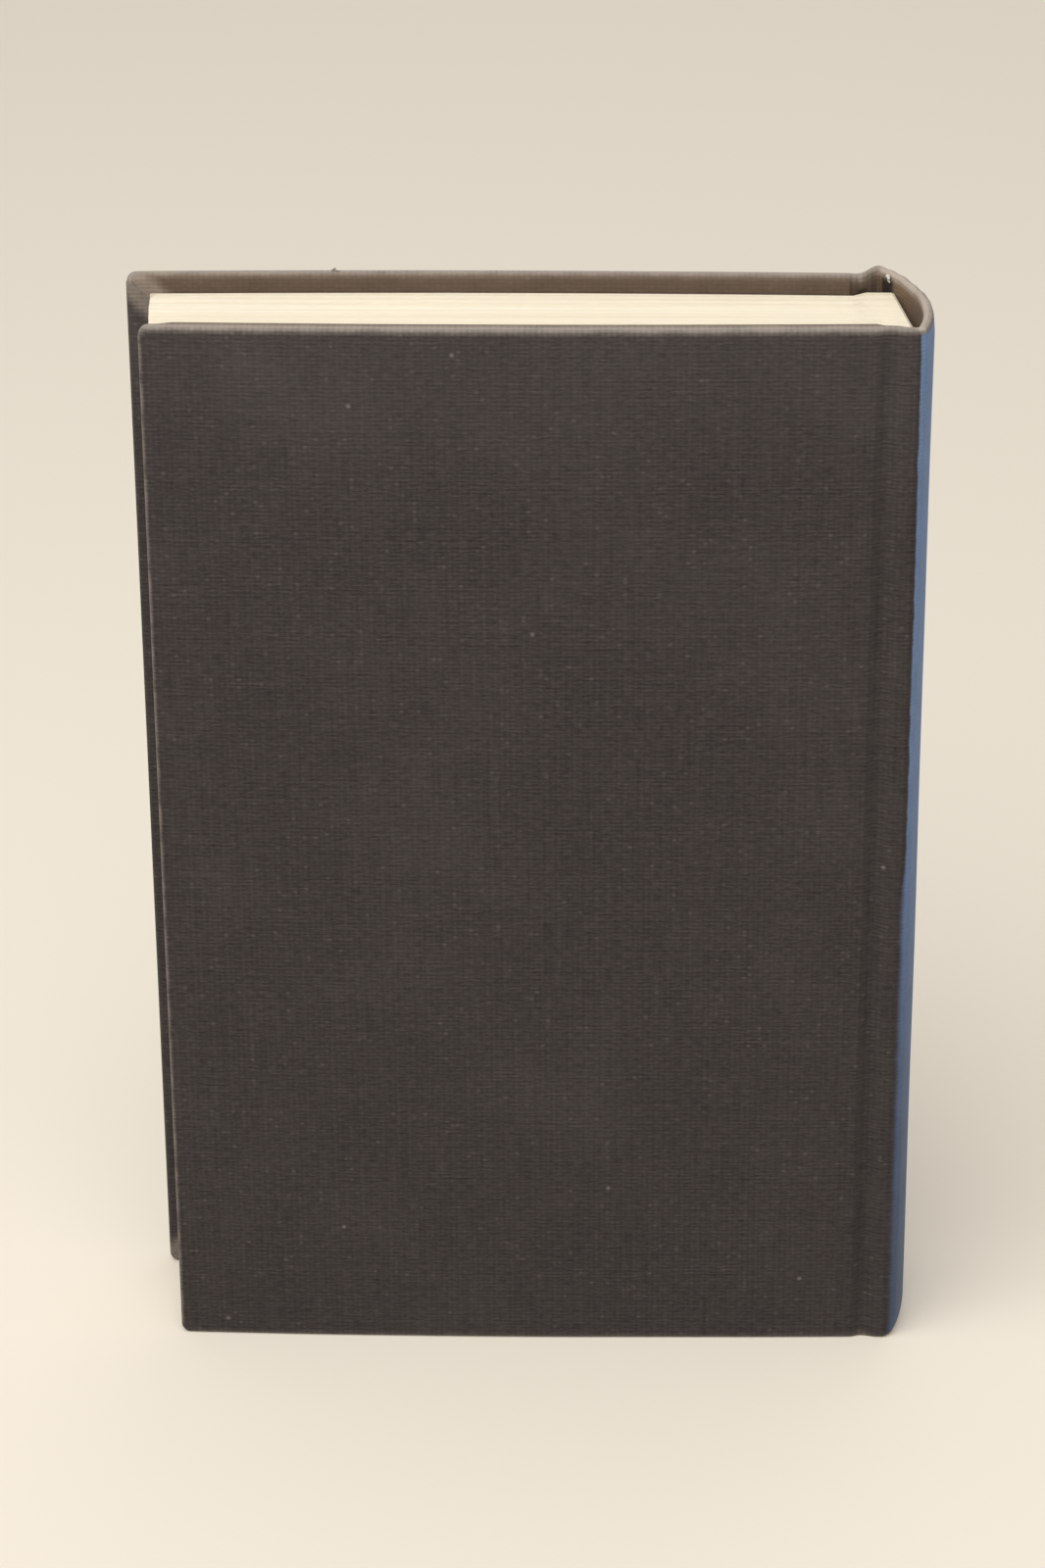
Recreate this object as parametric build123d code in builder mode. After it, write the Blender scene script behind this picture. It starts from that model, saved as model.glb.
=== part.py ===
"""A cloth-covered hardback book, standing on its tail edges with its spine at +X.

+Z runs from tail to head, +X from the fore-edge to the spine and +Y from the back cover to the front cover.
The origin lies under the middle of the book, at the level that its tail edges stand on. The book has been
read, so it leans: its front cover lies further from the spine side than its back cover, the leaves between
them follow, and the spine is rolled over towards the back cover.
"""

import os
from math import asin, atan2, cos, radians, sin, sqrt, tan

from build123d import *

# ---- driving dimensions, in millimetres ----
# the case
case_height = 216.0  # tail edge to head edge of the covered boards
case_thick = 31.4  # over both covers, at the crown of their bow
board_width = 134.0  # bare board, fore-edge to joint
board_thick = 2.3
cloth_thick = 0.45  # glued book cloth
turn_in = 15.0  # cloth folded over the edges of a board
paste_thick = 0.15  # endpaper pasted to the inside of a board
paste_margin = 3.0  # cloth that shows round the pasted endpaper
board_bow = 0.9  # rise of a cover's outer face between its fore-edge and its joint
corner_round = 1.6  # radius of a covered corner, seen square on to the cover
# the spine
spine_rise = 4.68  # how far the spine's round stands out past its two sides
spine_reach = 9.9  # how far the spine stands out past the back cover
spine_roll = 3.2  # shift of the spine's round towards the back cover
shoulder_radius = 2.5  # roll of cloth beside each joint
front_bulge = 2.0  # how far the front shoulder stands out past the edge of its cover
groove_sink = 1.1  # depth of the joint's groove where it meets a cover
inlay_thick = 1.0  # card that stiffens the spine
inlay_back_margin = 5.8  # from the level of the back cover's edge to the edge of the card
inlay_front_margin = 4.3  # the same beside the front cover
# the leaves
hollow_gap = 0.5  # least gap between the lining on the leaves and the cloth inside the spine
page_square = 3.3  # boards beyond the leaves at the fore-edge, on average
head_square = 3.2  # boards beyond the leaves at head and tail
flyleaf_thick = 0.15
lining_thick = 0.35  # crash and glue on the back of the leaves
fore_slant = 0.10  # shift of the leaves' fore-edge per unit of thickness
back_slant = 0.16  # shift of the leaves' back edge per unit of thickness
shoulder_rise = 1.8  # flare of the leaves beside the joints, from being rounded and backed
shoulder_length = 2.6  # length of the slope up to that flare
leaf_round = 0.8  # softened outer corners of the leaves at the fore-edge
# lean and clearances
lean = 4.7  # shift of the front cover towards the fore-edge
close_gap = 0.3  # between a closed cover and the flyleaf
joint_gap = 0.3  # between the edge of a cover and the cloth of the joint beside it
hinge_reach = 4.9  # from the edge of a cover to the line that it turns about
hinge_sink = 0.3  # of that line below the outer face of the cover's edge

# ---- sizes that follow ----
cover_width = board_width + 2 * cloth_thick
cover_thick = board_thick + 2 * cloth_thick  # before the pasted endpaper
crown = case_thick / 2  # outer face of a cover from the middle plane, at its crown
inner_crown = crown - cover_thick - paste_thick  # inner face of a cover at its crown
fly_crown = inner_crown - close_gap  # outer face of a flyleaf
leaf_crown = fly_crown - flyleaf_thick  # outer face of the leaves
bow_radius = (cover_width**2 / 4 + board_bow**2) / (2 * board_bow)
overall_width = lean + cover_width + spine_reach
back_fore = lean - overall_width / 2  # x of the back cover's fore-edge
back_joint = back_fore + cover_width  # x of the back cover's joint edge
edge_level = crown - board_bow  # outer face of a cover at its edges
page_height = case_height - 2 * head_square
leaf_fore = back_fore - lean / 2 + page_square  # x of the leaves' fore-edge on the middle plane
spine_inner = 2 * cloth_thick + inlay_thick  # depth of the cloth turned in over the card

BACK, FRONT = -1, 1  # sign of y on each side of the middle plane

# the front shoulder stands out past the front cover's crown, so the middle plane is set back by half of that
front_level = edge_level + front_bulge
middle_y = (crown - max(crown, front_level)) / 2
ground = Plane(origin=(0, middle_y, 0))

# ---- the spine's round, and the shoulder tangent inside it on each side ----
spine_half = (edge_level + front_level) / 2
spine_radius = (spine_half**2 + spine_rise**2) / (2 * spine_rise)
inlay_ends = {BACK: edge_level - inlay_back_margin, FRONT: edge_level - inlay_front_margin}
spine_x = overall_width / 2 - spine_radius
spine_y = -spine_roll


def shift(side):
    """How far the cover on this side is moved by the lean."""
    return -lean if side == FRONT else 0.0


def bow_drop(x, side):
    """How far a cover's face falls from its crown at x."""
    middle = back_fore + cover_width / 2 + shift(side)
    return bow_radius - sqrt(bow_radius**2 - (x - middle) ** 2)


def face_point(x, level, side):
    """A point of a bowed face whose crown lies at that level from the middle plane."""
    return (x, side * (level - bow_drop(x, side)))


def face_arc(x_from, x_to, level, side):
    """A bowed face in plan, between two values of x."""
    x_middle = (x_from + x_to) / 2
    return ThreePointArc(*(face_point(x, level, side) for x in (x_from, x_middle, x_to)))


def shoulder_angle(side):
    """Where the spine's round meets the shoulder on this side."""
    level = front_level if side == FRONT else edge_level
    return asin((side * (level - shoulder_radius) - spine_y) / (spine_radius - shoulder_radius))


def on_spine(radius, angle):
    """A point on a circle about the spine's centre."""
    return (spine_x + radius * cos(angle), spine_y + radius * sin(angle))


def spine_arc(radius, from_angle, to_angle):
    """An arc about the spine's centre."""
    middle = (from_angle + to_angle) / 2
    return ThreePointArc(*(on_spine(radius, a) for a in (from_angle, middle, to_angle)))


def joint_x(side):
    """x of the joint edge of the cover on this side."""
    return back_joint + shift(side)


def pinch_x(side):
    """x at which the leaves start to flare."""
    return joint_x(side) + joint_gap


def flare_point(level, side):
    """The foot of the flat flare, at the end of its slope."""
    x_pinch = pinch_x(side)
    return (x_pinch + shoulder_length, face_point(x_pinch, level, side)[1] + side * shoulder_rise)


def hollow_limit(side):
    """The leaves' back on the middle plane, if the lining just clears the cloth at this edge of the card."""
    y_end = side * inlay_ends[side]
    x_inside = spine_x + sqrt((spine_radius - spine_inner) ** 2 - (y_end - spine_y) ** 2)
    return x_inside - hollow_gap - lining_thick + back_slant * y_end


def leaf_back_x(y):
    """x of a leaf's back edge at a distance y from the middle plane."""
    return min(hollow_limit(BACK), hollow_limit(FRONT)) - back_slant * y


def hinge(side):
    """The line, in plan, that a cover turns about."""
    return (joint_x(side) + hinge_reach, middle_y + side * (edge_level - hinge_sink))


# ---- the leaves ----
def flank(level, side, x_end):
    """One face of the leaves in plan: bowed, then flared beside the joint, and flat to its end."""
    x_fore = leaf_fore - fore_slant * face_point(leaf_fore, level, side)[1]
    start = face_point(x_fore, level, side)
    foot = flare_point(level, side)
    body = face_arc(x_fore, pinch_x(side), level, side)
    Line(body @ 1, foot)
    Line(foot, (x_end, foot[1]))
    return start, (x_end, foot[1])


def back_x(level, side):
    """x of the leaves' back edge, at the height of the flare."""
    return leaf_back_x(flare_point(level, side)[1])


with BuildPart() as text_block:
    with BuildSketch(ground.offset(head_square)):
        with BuildLine():
            back_start, back_end = flank(leaf_crown, BACK, back_x(leaf_crown, BACK))
            front_start, front_end = flank(leaf_crown, FRONT, back_x(leaf_crown, FRONT))
            Line(back_start, front_start)
            Line(back_end, front_end)
        make_face()
    extrude(amount=page_height)
    leaf_corners = text_block.edges().filter_by(Axis.Z).group_by(Axis.X)[0]
    fillet(leaf_corners, radius=leaf_round)


def make_flyleaf(side):
    """The free half of an endpaper, which lies on the outermost leaf and follows its flare."""
    x_back = back_x(leaf_crown, side)
    with BuildPart() as sheet:
        with BuildSketch(ground.offset(head_square)):
            with BuildLine():
                inner_start, inner_end = flank(leaf_crown, side, x_back)
                outer_fore, outer_end = flank(fly_crown, side, x_back)
                Line(inner_start, outer_fore)
                Line(inner_end, outer_end)
            make_face()
        extrude(amount=page_height)
    return sheet


back_flyleaf = make_flyleaf(BACK)
front_flyleaf = make_flyleaf(FRONT)

with BuildPart() as spine_lining:
    with BuildSketch(ground.offset(head_square)):
        with BuildLine():
            Polyline(
                back_end,
                (back_end[0] + lining_thick, back_end[1]),
                (front_end[0] + lining_thick, front_end[1]),
                front_end,
                close=True,
            )
        make_face()
    extrude(amount=page_height)


# ---- the spine ----
def case_outline(inset, overrun=0.0):
    """The case's round in plan, from one joint to the other, at a depth inside its outer face."""
    ends = []
    spine_arc(spine_radius - inset, shoulder_angle(BACK), shoulder_angle(FRONT))
    roll = shoulder_radius - inset
    for side in (BACK, FRONT):
        angle = shoulder_angle(side)
        centre = on_spine(spine_radius - shoulder_radius, angle)
        # the groove's floor starts beside the cover, then runs up to touch the shoulder
        start = (pinch_x(side), side * (edge_level - groove_sink))
        run = centre[0] - start[0]
        fall = side * (centre[1] - start[1])
        slope = atan2(fall, run) + asin(shoulder_radius / sqrt(run**2 + fall**2))
        touch_angle = side * (radians(90) + slope)
        half_way = (angle + touch_angle) / 2
        touch = (centre[0] + roll * cos(touch_angle), centre[1] + roll * sin(touch_angle))
        ThreePointArc(
            on_spine(spine_radius - inset, angle),
            (centre[0] + roll * cos(half_way), centre[1] + roll * sin(half_way)),
            touch,
        )
        floor = touch[1] - side * (touch[0] - start[0]) * tan(slope)
        end = (start[0] - overrun, floor - side * overrun * tan(slope))
        Line(touch, end)
        ends.append(end)
    Line(*ends)


def card_angle(side):
    """Where the card ends on this side."""
    return asin((side * inlay_ends[side] - spine_y) / (spine_radius - cloth_thick))


def arc_band(outer_inset, inner_inset):
    """The outline in plan of the spine's round between two depths, as wide as the card."""
    outer = spine_arc(spine_radius - outer_inset, card_angle(BACK), card_angle(FRONT))
    inner = spine_arc(spine_radius - inner_inset, card_angle(BACK), card_angle(FRONT))
    Line(outer @ 0, inner @ 0)
    Line(outer @ 1, inner @ 1)


inlay_inner = cloth_thick + inlay_thick

with BuildPart() as spine_cloth:
    with BuildSketch(ground):
        with BuildLine():
            case_outline(0)
        make_face()
        with BuildLine():
            case_outline(cloth_thick, overrun=2.0)
        make_face(mode=Mode.SUBTRACT)
    extrude(amount=case_height)
    for end_plane, inward in ((ground, 1), (ground.offset(case_height), -1)):
        with BuildSketch(end_plane):
            with BuildLine():
                arc_band(cloth_thick / 2, spine_inner)
            make_face()
        extrude(amount=inward * cloth_thick)
        with BuildSketch(end_plane):
            with BuildLine():
                arc_band(inlay_inner, spine_inner)
            make_face()
        extrude(amount=inward * turn_in)

with BuildPart() as spine_board:
    with BuildSketch(ground.offset(cloth_thick)):
        with BuildLine():
            arc_band(cloth_thick, inlay_inner)
        make_face()
    extrude(amount=case_height - 2 * cloth_thick)


# ---- the covers ----
def layer(side, x_from, x_to, outer_level, inner_level):
    """The outline in plan of a bowed layer of a cover."""
    outer = face_arc(x_from, x_to, outer_level, side)
    inner = face_arc(x_from, x_to, inner_level, side)
    Line(outer @ 0, inner @ 0)
    Line(outer @ 1, inner @ 1)


def make_board(side):
    """The bare grey board of a cover."""
    x_fore = back_fore + shift(side) + cloth_thick
    outer_level = crown - cloth_thick
    with BuildPart() as board:
        with BuildSketch(ground.offset(cloth_thick)):
            with BuildLine():
                layer(side, x_fore, x_fore + board_width, outer_level, outer_level - board_thick)
            make_face()
        extrude(amount=case_height - 2 * cloth_thick)
        fillet(fore_corners(board), radius=corner_round - cloth_thick)
    return board


def fore_corners(part):
    """The two short edges at the fore-edge corners, square on to the cover."""
    across = part.edges().filter_by(Axis.Y, tolerance=2).group_by(Axis.X)[0]
    return across.group_by(Axis.Z)[0] + across.group_by(Axis.Z)[-1]


def make_cloth(side, board):
    """The cloth of one cover: its outer face, its edges, and the turn-ins on its inner face."""
    x_fore = back_fore + shift(side)
    window_fore = x_fore + turn_in
    window_joint = x_fore + cover_width
    inner_level = crown - cover_thick
    with BuildPart() as cloth:
        with BuildSketch(ground):
            with BuildLine():
                layer(side, x_fore, x_fore + cover_width, crown, inner_level)
            make_face()
        extrude(amount=case_height)
        fillet(fore_corners(cloth), radius=corner_round)
        add(board.part, mode=Mode.SUBTRACT)
        with BuildSketch(ground.offset(turn_in)):
            with BuildLine():
                layer(side, window_fore, window_joint, inner_level + cloth_thick, inner_level - cloth_thick)
            make_face()
        extrude(amount=case_height - 2 * turn_in, mode=Mode.SUBTRACT)
    return cloth


def make_pastedown(side):
    """The pasted half of an endpaper: on the turn-ins round its rim, and down on the board inside them."""
    x_fore = back_fore + shift(side)
    x_joint = x_fore + cover_width
    face = crown - cover_thick
    with BuildPart() as sheet:
        with BuildSketch(ground.offset(paste_margin)):
            with BuildLine():
                layer(side, x_fore + paste_margin, x_joint, face, face - paste_thick)
            make_face()
        extrude(amount=case_height - 2 * paste_margin)
        with BuildSketch(ground.offset(turn_in)):
            with BuildLine():
                layer(side, x_fore + turn_in, x_joint, face + cloth_thick, face - paste_thick)
            make_face()
        extrude(amount=case_height - 2 * turn_in)
        wall = turn_in + paste_thick
        with BuildSketch(ground.offset(wall)):
            with BuildLine():
                layer(side, x_fore + wall, x_joint, face + cloth_thick - paste_thick, face - 2 * paste_thick)
            make_face()
        extrude(amount=case_height - 2 * wall, mode=Mode.SUBTRACT)
    return sheet


back_board = make_board(BACK)
back_cloth = make_cloth(BACK, back_board)
back_pastedown = make_pastedown(BACK)
front_board = make_board(FRONT)
front_cloth = make_cloth(FRONT, front_board)
front_pastedown = make_pastedown(FRONT)

pieces = {
    "text_block": text_block,
    "back_flyleaf": back_flyleaf,
    "front_flyleaf": front_flyleaf,
    "spine_lining": spine_lining,
    "spine_board": spine_board,
    "spine_cloth": spine_cloth,
    "back_board": back_board,
    "back_cloth": back_cloth,
    "back_pastedown": back_pastedown,
    "front_board": front_board,
    "front_cloth": front_cloth,
    "front_pastedown": front_pastedown,
}

os.makedirs("parts", exist_ok=True)
for name, piece in pieces.items():
    piece.part.label = name
    export_step(piece.part, f"parts/{name}.step")

for name, side in (("back", BACK), ("front", FRONT)):
    x_hinge, y_hinge = hinge(side)
    print(f"{name} cover turns about x {x_hinge:.2f}, y {y_hinge:.2f}")
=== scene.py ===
"""Visible surfaces of a cloth-covered hardback book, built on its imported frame, with a plain stage."""

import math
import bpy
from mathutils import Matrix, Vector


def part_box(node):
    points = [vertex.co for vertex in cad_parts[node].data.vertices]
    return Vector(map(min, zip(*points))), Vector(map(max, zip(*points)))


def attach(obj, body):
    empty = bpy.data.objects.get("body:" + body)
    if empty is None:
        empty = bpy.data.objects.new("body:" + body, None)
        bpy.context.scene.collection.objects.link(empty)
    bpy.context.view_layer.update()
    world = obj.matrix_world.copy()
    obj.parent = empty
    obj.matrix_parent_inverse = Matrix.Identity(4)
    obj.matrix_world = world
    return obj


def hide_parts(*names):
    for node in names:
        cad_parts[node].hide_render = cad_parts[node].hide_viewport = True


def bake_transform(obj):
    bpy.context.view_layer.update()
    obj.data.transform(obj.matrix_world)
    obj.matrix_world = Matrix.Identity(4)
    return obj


bl_info = {
    "name": "Hardback book",
    "version": (1, 0, 0),
    "blender": (4, 5, 0),
    "location": "3D View > Sidebar > Hardback",
    "description": "Builds the cloth case, leaves, endpapers and finishes of a hardback book",
    "category": "Object",
}

from collections import namedtuple
from types import SimpleNamespace

import bmesh
import bpy
import numpy as np
from bpy.props import FloatProperty, FloatVectorProperty, IntProperty, PointerProperty
from mathutils import Matrix, Vector

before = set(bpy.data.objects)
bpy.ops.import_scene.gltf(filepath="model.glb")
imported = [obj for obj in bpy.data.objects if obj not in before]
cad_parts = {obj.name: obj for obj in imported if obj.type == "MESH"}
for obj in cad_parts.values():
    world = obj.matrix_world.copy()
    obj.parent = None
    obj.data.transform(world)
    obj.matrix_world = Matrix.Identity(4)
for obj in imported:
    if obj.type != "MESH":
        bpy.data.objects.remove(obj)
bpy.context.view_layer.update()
MM = 0.001


def linked(name, data):
    """A new object in the scene."""
    made = bpy.data.objects.new(name, data)
    bpy.context.scene.collection.objects.link(made)
    return made


def box_mm(node):
    """Lowest and highest corner of a CAD node, in millimetres."""
    low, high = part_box(node)
    return np.array(low) / MM, np.array(high) / MM


# ---------------------------------------------------------------- settings


def length(name, description, millimetres):
    """A length property, given in millimetres and kept in metres."""
    metres = millimetres * MM
    kind = {"subtype": "DISTANCE", "unit": "LENGTH", "precision": 5}
    return FloatProperty(name=name, description=description, default=metres, min=0.0, **kind)


def colour(name, description, value):
    """A colour property."""
    return FloatVectorProperty(
        name=name, description=description, subtype="COLOR", min=0.0, max=1.0, default=value
    )


def power(name, description, value):
    """A lamp's power."""
    return FloatProperty(name=name, description=description, subtype="POWER", default=value)


class HardbackSizes(bpy.types.PropertyGroup):
    """Sizes of the case and the leaves."""

    board_bow: length("Board bow", "Rise of a cover's face at its middle", 0.9)
    edge_radius: length("Edge radius", "Rounding of a covered board's edge", 0.8)
    corner_radius: length("Corner radius", "Rounding of a fore-edge corner", 1.9)
    turn_in: length("Turn-in", "Cloth seen inside a cover's edge", 12.0)
    roll_radius: length("Shoulder radius", "Roll of cloth beside a joint", 2.5)
    spine_radius: length("Spine radius", "Round of the spine", 29.0)
    spine_roll: length("Spine roll", "Shift of the round to the back", 3.2)
    groove_head: length("Groove at head", "Depth of the joint's groove at the head", 0.75)
    groove_tail: length("Groove at tail", "Depth of the joint's groove at the tail", 1.35)
    joint_cloth: length("Folded joint cloth", "Bulk of the cloth folded in over a joint", 3.3)
    near_fold: length("Back cover's fold", "Extra bulk of the fold at its head and tail", 0.9)
    spine_wall: length("Spine wall", "Cloth, card and folded cloth of the spine", 1.8)
    spine_swell: length("Spine swell", "How far the spine's cloth stands proud", 0.3)
    far_rise: length("Shoulder rise", "How far the front shoulder stands up at the head", 0.75)
    leaves: IntProperty(name="Leaves", description="Leaves in the stack", default=196, min=20, max=400)


class HardbackCloth(bpy.types.PropertyGroup):
    """Colours and weave of the book cloth."""

    weft_pitch: length("Weft pitch", "Spacing of the threads that run across the book", 0.79)
    warp_pitch: length("Warp pitch", "Spacing of the threads that run up the book", 1.05)
    ground: colour("Cloth", "Dyed cloth", (0.0575, 0.0488, 0.0478))
    worn: colour("Worn cloth", "Rubbed edges", (0.46, 0.395, 0.335))
    panel: colour("Spine panel", "Printed field", (0.180, 0.282, 0.505))
    fleck: colour("Fleck", "Lost print", (0.62, 0.64, 0.66))
    # the glued back's brown; mixed more weakly into the covers' folded edges, it is painted warm light
    # reflected from the leaves
    inside: colour("Glued side", "Inside of the spine", (0.190, 0.124, 0.073))


class HardbackPaper(bpy.types.PropertyGroup):
    """Colours of the paper and board."""

    leaf: colour("Leaf edges", "Edges of the leaves", (0.92, 0.86, 0.73))
    endpaper: colour("Endpaper", "Endpapers", (0.80, 0.74, 0.61))
    board: colour("Grey board", "Boards", (0.32, 0.29, 0.25))
    card: colour("Spine card", "Card in the spine", (0.22, 0.16, 0.11))
    lining: colour("Lining", "Cloth on the leaves' back", (0.52, 0.46, 0.36))


class HardbackStage(bpy.types.PropertyGroup):
    """Stage, lamps and camera."""

    floor: colour("Floor", "Floor and backdrop", (0.78, 0.725, 0.635))
    room: colour("Room", "Plain room behind the floor", (0.66, 0.61, 0.52))
    glow: colour("Backdrop glow", "Light that the floor shows to the camera alone", (0.13, 0.12, 0.105))
    key: power("Key lamp", "Power of the lamp above", 9.0)
    fill: power("Fill lamp", "Power of the lamp in front", 6.2)
    back: power("Back lamp", "Power of the lamp behind", 6.0)
    world: FloatProperty(name="Room light", description="Strength of the even light", default=0.48)


# ---------------------------------------------------------------- the case in plan

BACK, FRONT = -1, 1
EDGE_BAND = 3.0  # width of the strip along an edge that turns over it
HEAD_RISE = 0.2  # the cloth folded over the head stands this much proud of its board
BEND_LEVEL = 0.1  # height of the points that say where a joint bends, in metres
SKIN_DEPTH = 1.2  # ripples and the groove fade out this deep below the outer face
FOLD_RADIUS = 1.05  # rounding of the inner side of a folded edge
COVER_COLUMNS, JOINT_COLUMNS, SHOULDER_COLUMNS, SPINE_COLUMNS = 84, 40, 20, 90
COLUMN_ROWS = 138
BEND_STEPS = 6  # round the outer or inner side of a folded edge
CORNER_STEPS = 11
BUMP_REACH = 5.0  # the ends of the spine are bumped in over this height

Column = namedtuple("Column", "x y in_x in_y dip wall_x roll")


def ease(value, low, high):
    """Smooth step from 0 at low to 1 at high."""
    t = np.clip((value - low) / (high - low), 0.0, 1.0)
    return t * t * (3.0 - 2.0 * t)


class Case:
    """The outer face of the cloth case in plan, in millimetres, taken from the frame's boxes."""

    def __init__(self, settings):
        lengths = [key for key in settings.__annotations__ if key != "leaves"]
        self.s = sizes = SimpleNamespace(**{key: getattr(settings, key) / MM for key in lengths})
        self.box = {BACK: box_mm("back_cloth"), FRONT: box_mm("front_cloth")}
        low, high = box_mm("spine_cloth")
        self.height = self.box[BACK][1][2] + HEAD_RISE
        self.fore = {k: b[0][0] for k, b in self.box.items()}
        self.joint = {k: b[1][0] for k, b in self.box.items()}
        self.crown = {BACK: self.box[BACK][0][1], FRONT: self.box[FRONT][1][1]}
        self.thick = (self.box[BACK][1] - self.box[BACK][0])[1] - sizes.board_bow
        self.middle_y = (self.crown[BACK] + self.crown[FRONT]) / 2
        self.top = {BACK: low[1], FRONT: high[1]}
        self.centre = np.array([high[0] - sizes.spine_radius, self.middle_y - sizes.spine_roll])
        self.roll = {k: self._roll(k) for k in (BACK, FRONT)}

    def _roll(self, side):
        """Centre of the shoulder's roll, and the angle at which it meets the spine's round."""
        r = self.s.roll_radius
        y = self.top[side] - side * r
        angle = math.asin((y - self.centre[1]) / (self.s.spine_radius - r))
        x = self.centre[0] + (self.s.spine_radius - r) * math.cos(angle)
        return np.array([x, y]), angle

    def face(self, x, side):
        """y of a cover's bowed outer face."""
        half = (self.joint[side] - self.fore[side]) / 2
        middle = (self.joint[side] + self.fore[side]) / 2
        return self.crown[side] - side * self.s.board_bow * ((x - middle) / half) ** 2

    def cover_run(self, side):
        """Columns from the fore-edge band, across the cover and its joint, to the spine's round."""
        start, joint = self.fore[side] + EDGE_BAND, self.joint[side]
        centre, angle = self.roll[side]
        flat_end = joint - 2.4
        xs = list(np.linspace(start, flat_end, COVER_COLUMNS))
        xs += list(np.linspace(flat_end, centre[0], JOINT_COLUMNS)[1:])
        rise_from = joint + 1.9 if side == FRONT else joint
        low_at, reach_in, reach_on = (joint + 1.45, 2.4, 3.3) if side == BACK else (joint + 0.9, 1.6, 2.0)
        columns = []
        for x in xs:
            level = self.face(min(x, joint), side)
            level += (self.top[side] - level) * ease(x, rise_from, centre[0] - 0.3)
            reach = reach_in if x < low_at else reach_on
            dip = math.cos(min(1.0, abs(x - low_at) / reach) * math.pi / 2) ** 2
            columns.append(Column(x, level, 0.0, -side, dip, x, 0.0))
        for t in np.sin(np.linspace(0, math.pi / 2, SHOULDER_COLUMNS))[1:]:
            a = side * math.pi / 2 * (1 - t) + angle * t
            way = np.array([math.cos(a), math.sin(a)])
            p = centre + self.s.roll_radius * way
            columns.append(Column(p[0], p[1], -way[0], -way[1], 0.0, centre[0], t))
        return columns

    def bend(self, side):
        """Where the cloth and paper of a joint start and stop bending as its cover opens, in metres."""
        xs = self.joint[side] + 0.1, self.roll[side][0][0] - 0.3
        return [(x * MM, self.crown[side] * MM, BEND_LEVEL) for x in xs]

    def spine_run(self):
        """Columns of the spine's round, from the back shoulder to the front one."""
        columns = []
        for a in np.linspace(self.roll[BACK][1], self.roll[FRONT][1], SPINE_COLUMNS):
            way = np.array([math.cos(a), math.sin(a)])
            p = self.centre + self.s.spine_radius * way
            columns.append(Column(p[0], p[1], -way[0], -way[1], 0.0, self.centre[0], 1.0))
        return columns

    def wall(self, column, side):
        """Thickness of the folded edge at head and tail, and of what lies further in, at a column."""
        s, joint, x = self.s, self.joint[side], column.wall_x
        if column.roll == 1.0:
            return s.spine_wall, s.spine_wall
        bulk = s.near_fold if side == BACK else 0.0
        folded = self.thick + bulk * ease(x, self.fore[side] + EDGE_BAND, self.fore[side] + 6.5)
        at_joint = s.joint_cloth if side == BACK else s.joint_cloth * 0.9
        stops = [joint - 0.8, joint + 0.8, joint + 3.2, joint + 4.8]
        edge = np.interp(x, stops, [folded, at_joint, at_joint * 0.95, (at_joint + s.spine_wall) / 2])
        if x <= joint:
            return edge, self.thick
        # past the board, the cloth lies close along the leaves' shoulder
        close = [2.4, 1.7, 1.1, 0.6, 0.6] if side == BACK else [2.2, 1.9, 1.1, 1.2, 1.9]
        inside = np.interp(x - joint, [0.0, 0.9, 1.9, 2.9, 3.9], close)
        if side == FRONT:
            edge = max(inside, 1.5)
        return tuple(depth + (s.spine_wall - depth) * column.roll for depth in (edge, inside))


def edge_profile(edge, radius, reach, inner):
    """From a band on the outer face, over the edge, to the folded part inside: inset, depth and run."""
    pts = [(EDGE_BAND, 0.0), (2.3, 0.0), (1.5, 0.0)]
    inner_radius = min(FOLD_RADIUS, edge / 2 - 0.05)
    for a in np.linspace(0, math.pi / 2, BEND_STEPS):
        pts.append((radius * (1 - math.sin(a)), radius * (1 - math.cos(a))))
    pts.append((0.0, (radius + edge - inner_radius) / 2))
    for a in np.linspace(0, math.pi / 2, BEND_STEPS):
        pts.append((inner_radius * (1 - math.cos(a)), edge - inner_radius * (1 - math.sin(a))))
    pts += [(1.6, edge), (2.3, edge), (3.1, edge * 0.94 + inner * 0.06), (3.36, inner)]
    pts += [(5.0, inner), (8.0, inner), (reach, inner)]
    pts = np.array(pts)
    step = np.hypot(*np.diff(pts, axis=0).T)
    return np.column_stack([pts, np.concatenate([[0.0], np.cumsum(step)])])


def ripple(u, v):
    """Gentle unevenness of glued cloth, in millimetres."""
    broad = 0.055 * np.sin(u / 17.0 + v / 41.0 + 1.7) + 0.045 * np.sin(u / 29.0 - v / 23.0 + 3.6)
    return broad + 0.030 * np.sin(u / 7.3 + v / 11.0 + 1.2)


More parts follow.
